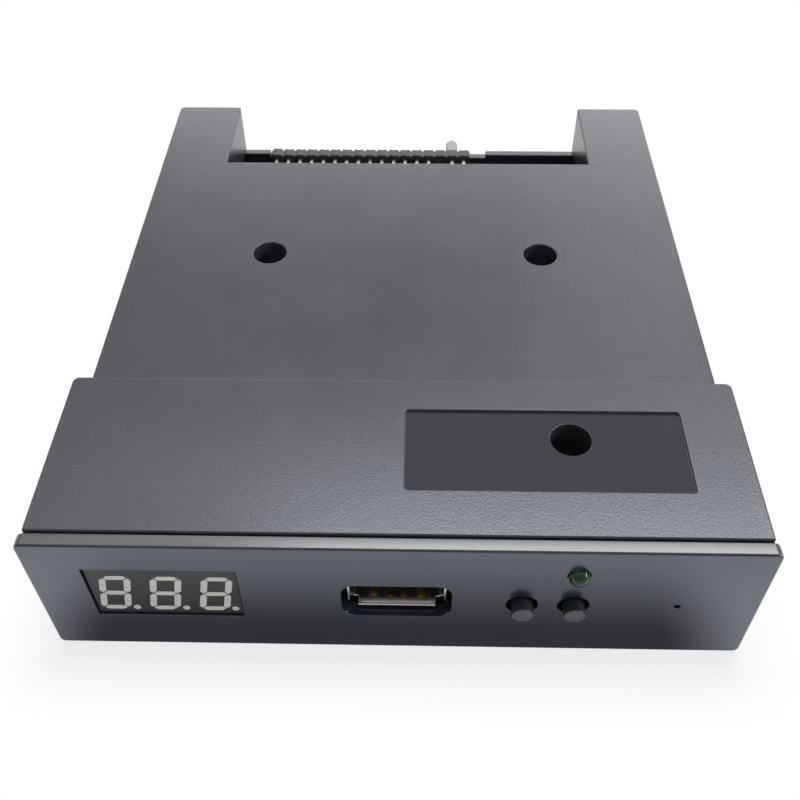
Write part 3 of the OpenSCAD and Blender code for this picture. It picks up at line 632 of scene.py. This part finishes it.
def islands(node):
    """The lowest and highest corner of each separate solid of a node."""
    copy = merged_copy(node)
    seen = set()
    boxes = []
    for start in copy.verts:
        if start in seen:
            continue
        seen.add(start)
        found = [start]
        for vert in found:
            near = [edge.other_vert(vert) for edge in vert.link_edges]
            new = [other for other in near if other not in seen]
            seen.update(new)
            found.extend(new)
        sides = list(zip(*(vert.co for vert in found)))
        boxes.append((Vector(map(min, sides)), Vector(map(max, sides))))
    copy.free()
    return boxes


# Case

def cover():
    """Cover with soft edges and a polished floor in its recess."""
    copy = merged_copy("top_cover")

    def rim(point):
        depth = point.y - BEZEL_FRONT
        return abs(point.x) < COVER_RIMS_ASIDE * MM and COVER_RIMS_FRONT * MM < depth < COVER_RIMS_BACK * MM

    round_edges(copy, COVER_EDGE, steps=3, where=lambda point: not rim(point))
    round_edges(copy, COVER_RIM_EDGE, steps=2, where=rim)
    recess_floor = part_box("top_cover")[1].z - RECESS_CUT * MM
    for face in copy.faces:
        if abs(face.calc_center_median().z - recess_floor) < ON_PLANE * MM and face.normal.z > FACES_UP:
            face.material_index = 1
    finished("top_cover_dressed", copy, "case_plastic", "drive", ("top_cover",), RECESS_FINISH)


def bezel():
    """Bezel with a soft outline, crisper rims round its openings and a duller top whose paler colour is
    painted light.
    """
    copy = merged_copy("front_bezel")
    low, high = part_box("front_bezel")
    rim = BEZEL_RIM * MM

    def outline(point):
        inside = low.x + rim < point.x < high.x - rim and low.z + rim < point.z < high.z - rim
        return not inside

    def front_rim(point):
        return point.y < low.y + BEZEL_FRONT_LAYER * MM and not outline(point)

    round_edges(copy, BEZEL_EDGE, steps=3, where=outline)
    round_edges(copy, BEZEL_RIM_EDGE, steps=2, where=front_rim)
    # Upward faces of the outline get a satin copy of the plastic, paler as painted light on the top.
    for face in copy.faces:
        if face.normal.z > FACES_UP and outline(face.calc_center_median()):
            face.material_index = 1
    finished("front_bezel_dressed", copy, "bezel_plastic", "drive", ("front_bezel",), SATIN_AND_PAINTED_LIGHT_TOP_FINISH)


# Front pieces

def button(node, gate_stub):
    """Button plunger with a softly crowned tip, painted paler on its front as painted light, and the stub of
    its moulding gate where one is given.
    """
    low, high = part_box(node)
    foot = Vector(((low.x + high.x) / 2, low.y, (low.z + high.z) / 2))
    length = (high.y - low.y) / MM
    flange_end = BUTTON_FLANGE_AT + BUTTON_FLANGE_DEPTH
    edge_centre = (BUTTON_STEM - BUTTON_EDGE, BUTTON_CROWN + BUTTON_EDGE)
    edge = arc(edge_centre, BUTTON_EDGE, 0, 90, BUTTON_EDGE_STEPS)
    shank = [
        (BUTTON_STEM, BUTTON_FLANGE_AT), (BUTTON_FLANGE, BUTTON_FLANGE_AT), (BUTTON_FLANGE, flange_end),
        (BUTTON_NUB, flange_end), (BUTTON_NUB, length), (0, length),
    ]
    shape = spun([(0, 0)] + gate_stub + edge + shank, foot, BACK)
    # Forward faces of the tip take the paler finish: painted light, standing in for the floor's reflection.
    for face in shape.faces:
        at_tip = face.calc_center_median().y < low.y + BUTTON_EDGE * MM
        if at_tip and face.normal.y < -TIP_FACES_FRONT:
            face.material_index = 1
    finished(node + "_turned", shape, "button_grey", BODY_OF[node], (node,), PAINTED_LIGHT_TIP_FINISH)


def snap_dome(node):
    """Snap dome of a switch, copied onto its body with a mesh of its own."""
    dome = finished(node + "_sprung", merged_copy(node), SLOT_OF[node], BODY_OF[node], (node,))
    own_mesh(dome)


def status_light():
    """Green lens with its dome, and the lead frame that is cast inside it."""
    low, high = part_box("status_light")
    centre = Vector(((low.x + high.x) / 2, BEZEL_FRONT, (low.z + high.z) / 2))
    dome = arc((0, 0), LIGHT_RADIUS, 0, 90, LIGHT_DOME_STEPS)
    flange = (high.x - low.x) / 2 / MM
    end = (high.y - BEZEL_FRONT) / MM
    flange_at = end - LIGHT_FLANGE_DEPTH
    barrel = [(LIGHT_RADIUS, flange_at), (flange, flange_at), (flange, end), (0, end)]
    lens = spun(dome + barrel, centre, BACK)
    finished("status_light_lens", lens, "light_green", "drive", ("status_light",))
    lead_frame = spun(LEAD_CUP, centre + LEAD_CUP_AT * MM, BACK)
    post = centre + LEAD_POST_AT * MM
    block(lead_frame, post - LEAD_POST_BEFORE * MM, post + LEAD_POST_BEHIND * MM, LEAD_POST_EDGE)
    finished("status_light_frame", lead_frame, "tin", "drive")


def spring_leaf(bow):
    """Points of a leaf spring from its root to its tip: depth behind the bezel, and rise from the wall."""
    return [(11.5, 0.02), (8.5, 0.2), (6.7, bow), (5.9, bow + 0.06), (5.2, bow - 0.12), (4.8, bow - 0.32)]


def usb_springs():
    """Leaf springs on the floor and roof of the USB shell, bowed towards the plug."""
    shape = bmesh.new()
    for up, bow in ((1, SPRING_FLOOR_BOW), (-1, SPRING_ROOF_BOW)):
        wall = USB_MIDDLE * MM - up * USB_HALF_HEIGHT * MM
        for x in (-SPRING_ASIDE, SPRING_ASIDE):
            path = [
                Vector((x * MM, BEZEL_FRONT + depth * MM, wall + up * rise * MM))
                for depth, rise in spring_leaf(bow)
            ]
            strip(shape, path, RIGHT * (SPRING_WIDTH * MM), SPRING_SHEET)
    bmesh.ops.recalc_face_normals(shape, faces=shape.faces)
    finished("usb_springs", shape, "nickel_sheet", "drive")


# Rear connectors

def right_angle_pins(node):
    """Square pins with tapered tips and a radius where they bend down."""
    copy = merged_copy(node)
    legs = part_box(node)[0].y
    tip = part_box(node)[1].y
    geometry = copy.verts[:] + copy.edges[:] + copy.faces[:]
    taper_from = (0, tip - PIN_TAPER_LENGTH * MM, 0)
    bmesh.ops.bisect_plane(copy, geom=geometry, plane_co=taper_from, plane_no=BACK)
    ends = [face for face in copy.faces if all(abs(vert.co.y - tip) < ON_PLANE * MM for vert in face.verts)]
    for face in ends:
        centre = Matrix.Translation(-face.calc_center_median())
        bmesh.ops.scale(copy, vec=(PIN_TAPER, 1, PIN_TAPER), space=centre, verts=face.verts)

    def bends(edge):
        sideways = abs((edge.verts[0].co - edge.verts[1].co).normalized().x) > PIN_ACROSS
        near_legs = middle(edge).y < legs + PIN_BEND_REACH * MM
        above_board = middle(edge).z > BOARD_TOP + PIN_ABOVE_BOARD * MM
        outer = edge.is_convex and edge.calc_face_angle() > math.radians(SHARP_ANGLE)
        return sideways and near_legs and above_board and outer and room_beside(edge) > PIN_BEND * MM

    bevel(copy, [edge for edge in copy.edges if bends(edge)], PIN_BEND, PIN_BEND_STEPS)
    finished(node + "_formed", copy, SLOT_OF[node], BODY_OF[node], (node,))


def solder_joints():
    """Fillets of solder where the legs of the rear connectors go down through the board."""
    shape = bmesh.new()
    for node in REAR_PINS:
        legs = set()
        for low, high in islands(node):
            x = (low.x + high.x) / 2
            y = low.y + PIN_SIDE / 2 * MM
            legs.add((round(x, PIN_DECIMALS), round(y, PIN_DECIMALS)))
        for x, y in sorted(legs):
            spun(SOLDER_FILLET, Vector((x, y, BOARD_TOP)), UP, shape)
    finished("solder_joints", shape, "tin", "drive")


# Board components

def gull_wing(rise):
    """Points of a chip leg from its root to its foot: share of its reach, and height above the board."""
    return [(-0.1, rise), (0.18, rise), (0.3, rise - 0.1), (0.42, 0.12), (0.52, 0.02), (1.0, 0.02)]


def gull_legs(node, chip_node, rise):
    """Chip legs that leave the body half-way up, bend down and end in a flat foot."""
    shape = bmesh.new()
    chips = [(low + high) / 2 for low, high in islands(chip_node)]
    for low, high in islands(node):
        centre = (low + high) / 2
        size = high - low
        chip = min(chips, key=lambda place: (place - centre).length)
        away = centre - chip
        if size.x > size.y and abs(away.x) > abs(away.y):
            out = RIGHT * math.copysign(1, away.x)
            wide = BACK * size.y
        else:
            out = BACK * math.copysign(1, away.y)
            wide = RIGHT * size.x
        reach = abs(out.dot(size))
        root = centre - out * reach / 2
        path = [
            Vector((root.x, root.y, low.z)) + out * (reach * along) + UP * (height * MM)
            for along, height in gull_wing(rise)
        ]
        strip(shape, path, wide, LEG_SHEET)
    bmesh.ops.recalc_face_normals(shape, faces=shape.faces)
    finished(node + "_bent", shape, "tin", "drive", (node,))


def end_caps():
    """Tinned ends of the chip resistors and chip capacitors."""
    shape = bmesh.new()
    skin = CHIP_END_SKIN * MM
    for node in ("chip_resistors", "chip_capacitors"):
        for low, high in islands(node):
            cap = Vector((CHIP_END * MM, high.y - low.y, high.z - low.z))
            block(shape, low - skin, low + cap + skin, CHIP_END_EDGE)
            block(shape, high - cap - skin, high + skin, CHIP_END_EDGE)
    finished("chip_end_caps", shape, "tin", "drive")


def capacitor_can():
    """Drawn can with a rolled neck above its base."""
    low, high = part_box("capacitor_can")
    radius = (high.x - low.x) / 2 / MM
    height = (high.z - low.z) / MM
    foot = Vector(((low.x + high.x) / 2, (low.y + high.y) / 2, low.z))
    base = [(0, 0), (radius - CAN_FOOT, 0), (radius, CAN_FOOT)]
    neck = [(radius - inset, level) for inset, level in CAN_NECK]
    shoulder = [(radius - inset, height - drop) for inset, drop in CAN_SHOULDER]
    points = base + neck + shoulder + [(0, height)]
    can = spun(points, foot, UP)
    finished("capacitor_can_drawn", can, "can_aluminium", "drive", ("capacitor_can",))


cover()
bezel()
button("left_button", GATE_STUB)
button("right_button", [])
snap_dome("left_snap_dome")
snap_dome("right_snap_dome")
status_light()
usb_springs()
for node in REAR_PINS:
    right_angle_pins(node)
solder_joints()
for node, (chip_node, rise) in LEGS.items():
    gull_legs(node, chip_node, rise)
end_caps()
capacitor_can()
for node, radius in EDGE_RADIUS.items():
    dress(node, radius)
for node, solid in frame["nodes"].items():
    solid.data.materials.clear()
    solid.data.materials.append(FINISH[SLOT_OF[node]])


# Surroundings

def set_camera():
    """Stands the camera where the photograph was taken from."""
    data = bpy.data.cameras.new("camera")
    data.sensor_width = SENSOR_WIDTH
    data.lens = FOCAL_PIXELS / FRAME_PIXELS * SENSOR_WIDTH
    data.clip_start = NEAREST_SEEN * MM
    camera = bpy.data.objects.new("camera", data)
    bpy.context.scene.collection.objects.link(camera)
    stand = Matrix.Translation(CAMERA_FROM_BEZEL * MM + Vector((0, BEZEL_FRONT, 0)))
    left = Matrix.Rotation(math.radians(CAMERA_LEFT), 4, "Z")
    down = Matrix.Rotation(math.radians(90 - CAMERA_DOWN), 4, "X")
    roll = Matrix.Rotation(math.radians(-CAMERA_ROLL), 4, "Z")
    camera.matrix_world = stand @ left @ down @ roll
    bpy.context.scene.camera = camera


def softbox(name, size, place, brightness, aim=(0, 0, 0)):
    """A rectangular lamp that faces a point, with its brightness as seen from there."""
    data = bpy.data.lights.new(name, "AREA")
    data.shape = "RECTANGLE"
    data.size, data.size_y = size
    data.energy = brightness * math.pi * size[0] * size[1]
    lamp = bpy.data.objects.new(name, data)
    bpy.context.scene.collection.objects.link(lamp)
    lamp.location = place
    lamp.rotation_euler = (Vector(place) - Vector(aim)).to_track_quat("Z", "Y").to_euler()


def distance_from_object(paint, narrower=0.0, aside=0.0):
    """How far a point of the floor lies outside the object's plan, or one narrower and aside, in metres."""
    low, high = cad_box
    half = (high - low) / 2
    reach = (half.x - narrower, half.y, 0)
    place = paint.vector("SUBTRACT", paint.place(), (aside, 0, 0))
    folded = paint.vector("ABSOLUTE", place)
    outside = paint.vector("SUBTRACT", folded, reach)
    clear = paint.vector("MAXIMUM", outside, (0, 0, 0))
    return paint.vector("LENGTH", clear, output="Value")


def lay_floor():
    """A plain white floor that keeps the object's shadow and fades to white away from it, with a painted
    shadow near the object where it is mirrored.
    """
    plane = bmesh.new()
    drop = Matrix.Translation((0, 0, -FLOOR_DROP * MM))
    bmesh.ops.create_grid(plane, x_segments=1, y_segments=1, size=FLOOR_SIZE / 2, matrix=drop)
    mesh = bpy.data.meshes.new("floor")
    plane.to_mesh(mesh)
    plane.free()
    floor = bpy.data.objects.new("floor", mesh)
    bpy.context.scene.collection.objects.link(floor)
    paint = Paint("floor", Base_Color=FLOOR_COLOUR, Roughness=FLOOR_ROUGHNESS)
    shaded = distance_from_object(paint, SHADOW_NARROWER, SHADOW_ASIDE)
    # Painted shadow: what reflections see of the floor is a glow that darkens towards the object.
    level = MIRRORED_DARK + (1 - MIRRORED_DARK) * paint.band(shaded, *SHADOW_MIRRORED)
    shown = paint.ray("Camera") | level
    glow = paint.node("ShaderNodeEmission", {}, {"Color": shown, "Strength": FLOOR_GLOW})
    seen = paint.ray("Camera") * paint.band(distance_from_object(paint), *SHADOW_SEEN)
    mirrored = paint.ray("Glossy") | paint.ray("Transmission")
    matt = Value(paint, paint.shader.outputs[0])
    surface = paint.node("ShaderNodeMixShader", {}, {0: seen | mirrored, 1: matt, 2: glow})
    paint.feed(paint.tree.nodes["Material Output"].inputs["Surface"], surface)
    mesh.materials.append(paint.material)


def light_the_sky():
    """A pale surround, darker on the viewer's side and white where the camera sees it."""
    world = bpy.data.worlds.new("surround")
    world.use_nodes = True
    bpy.context.scene.world = world
    sky = Nodes(world.node_tree)
    background = sky.tree.nodes["Background"]
    direction = sky.node("ShaderNodeTexCoord", {}, {}, "Generated")
    ahead = sky.node("ShaderNodeSeparateXYZ", {}, {0: direction}, "Y")
    mirrored = SKY_FRONT + (1 - SKY_FRONT) * sky.band(ahead, *SKY_FADE)
    shown = sky.ray("Camera") | (sky.ray("Glossy") | sky.ray("Transmission")) * mirrored
    sky.feed(background.inputs["Color"], WHITE)
    sky.feed(background.inputs["Strength"], shown | SKY_LIGHT)


set_camera()
lay_floor()
light_the_sky()
softbox("back_softbox", size=(1.02, 0.22), place=(0.11, 1.0, 0.44), brightness=4.3)
softbox("top_softbox", size=(0.56, 0.12), place=(0.155, 0.32, 0.66), brightness=12.5, aim=(0.155, 0, 0))
softbox("left_panel", size=(0.3, 0.14), place=(-0.28, 0.39, 0.7), brightness=2.1)
softbox("right_panel", size=(0.5, 0.24), place=(0.42, 0.9, 0.84), brightness=1.6)
softbox("side_softbox", size=(0.24, 0.16), place=(0.88, -0.16, 0.44), brightness=24.0)
bpy.context.scene.view_settings.view_transform = "Standard"
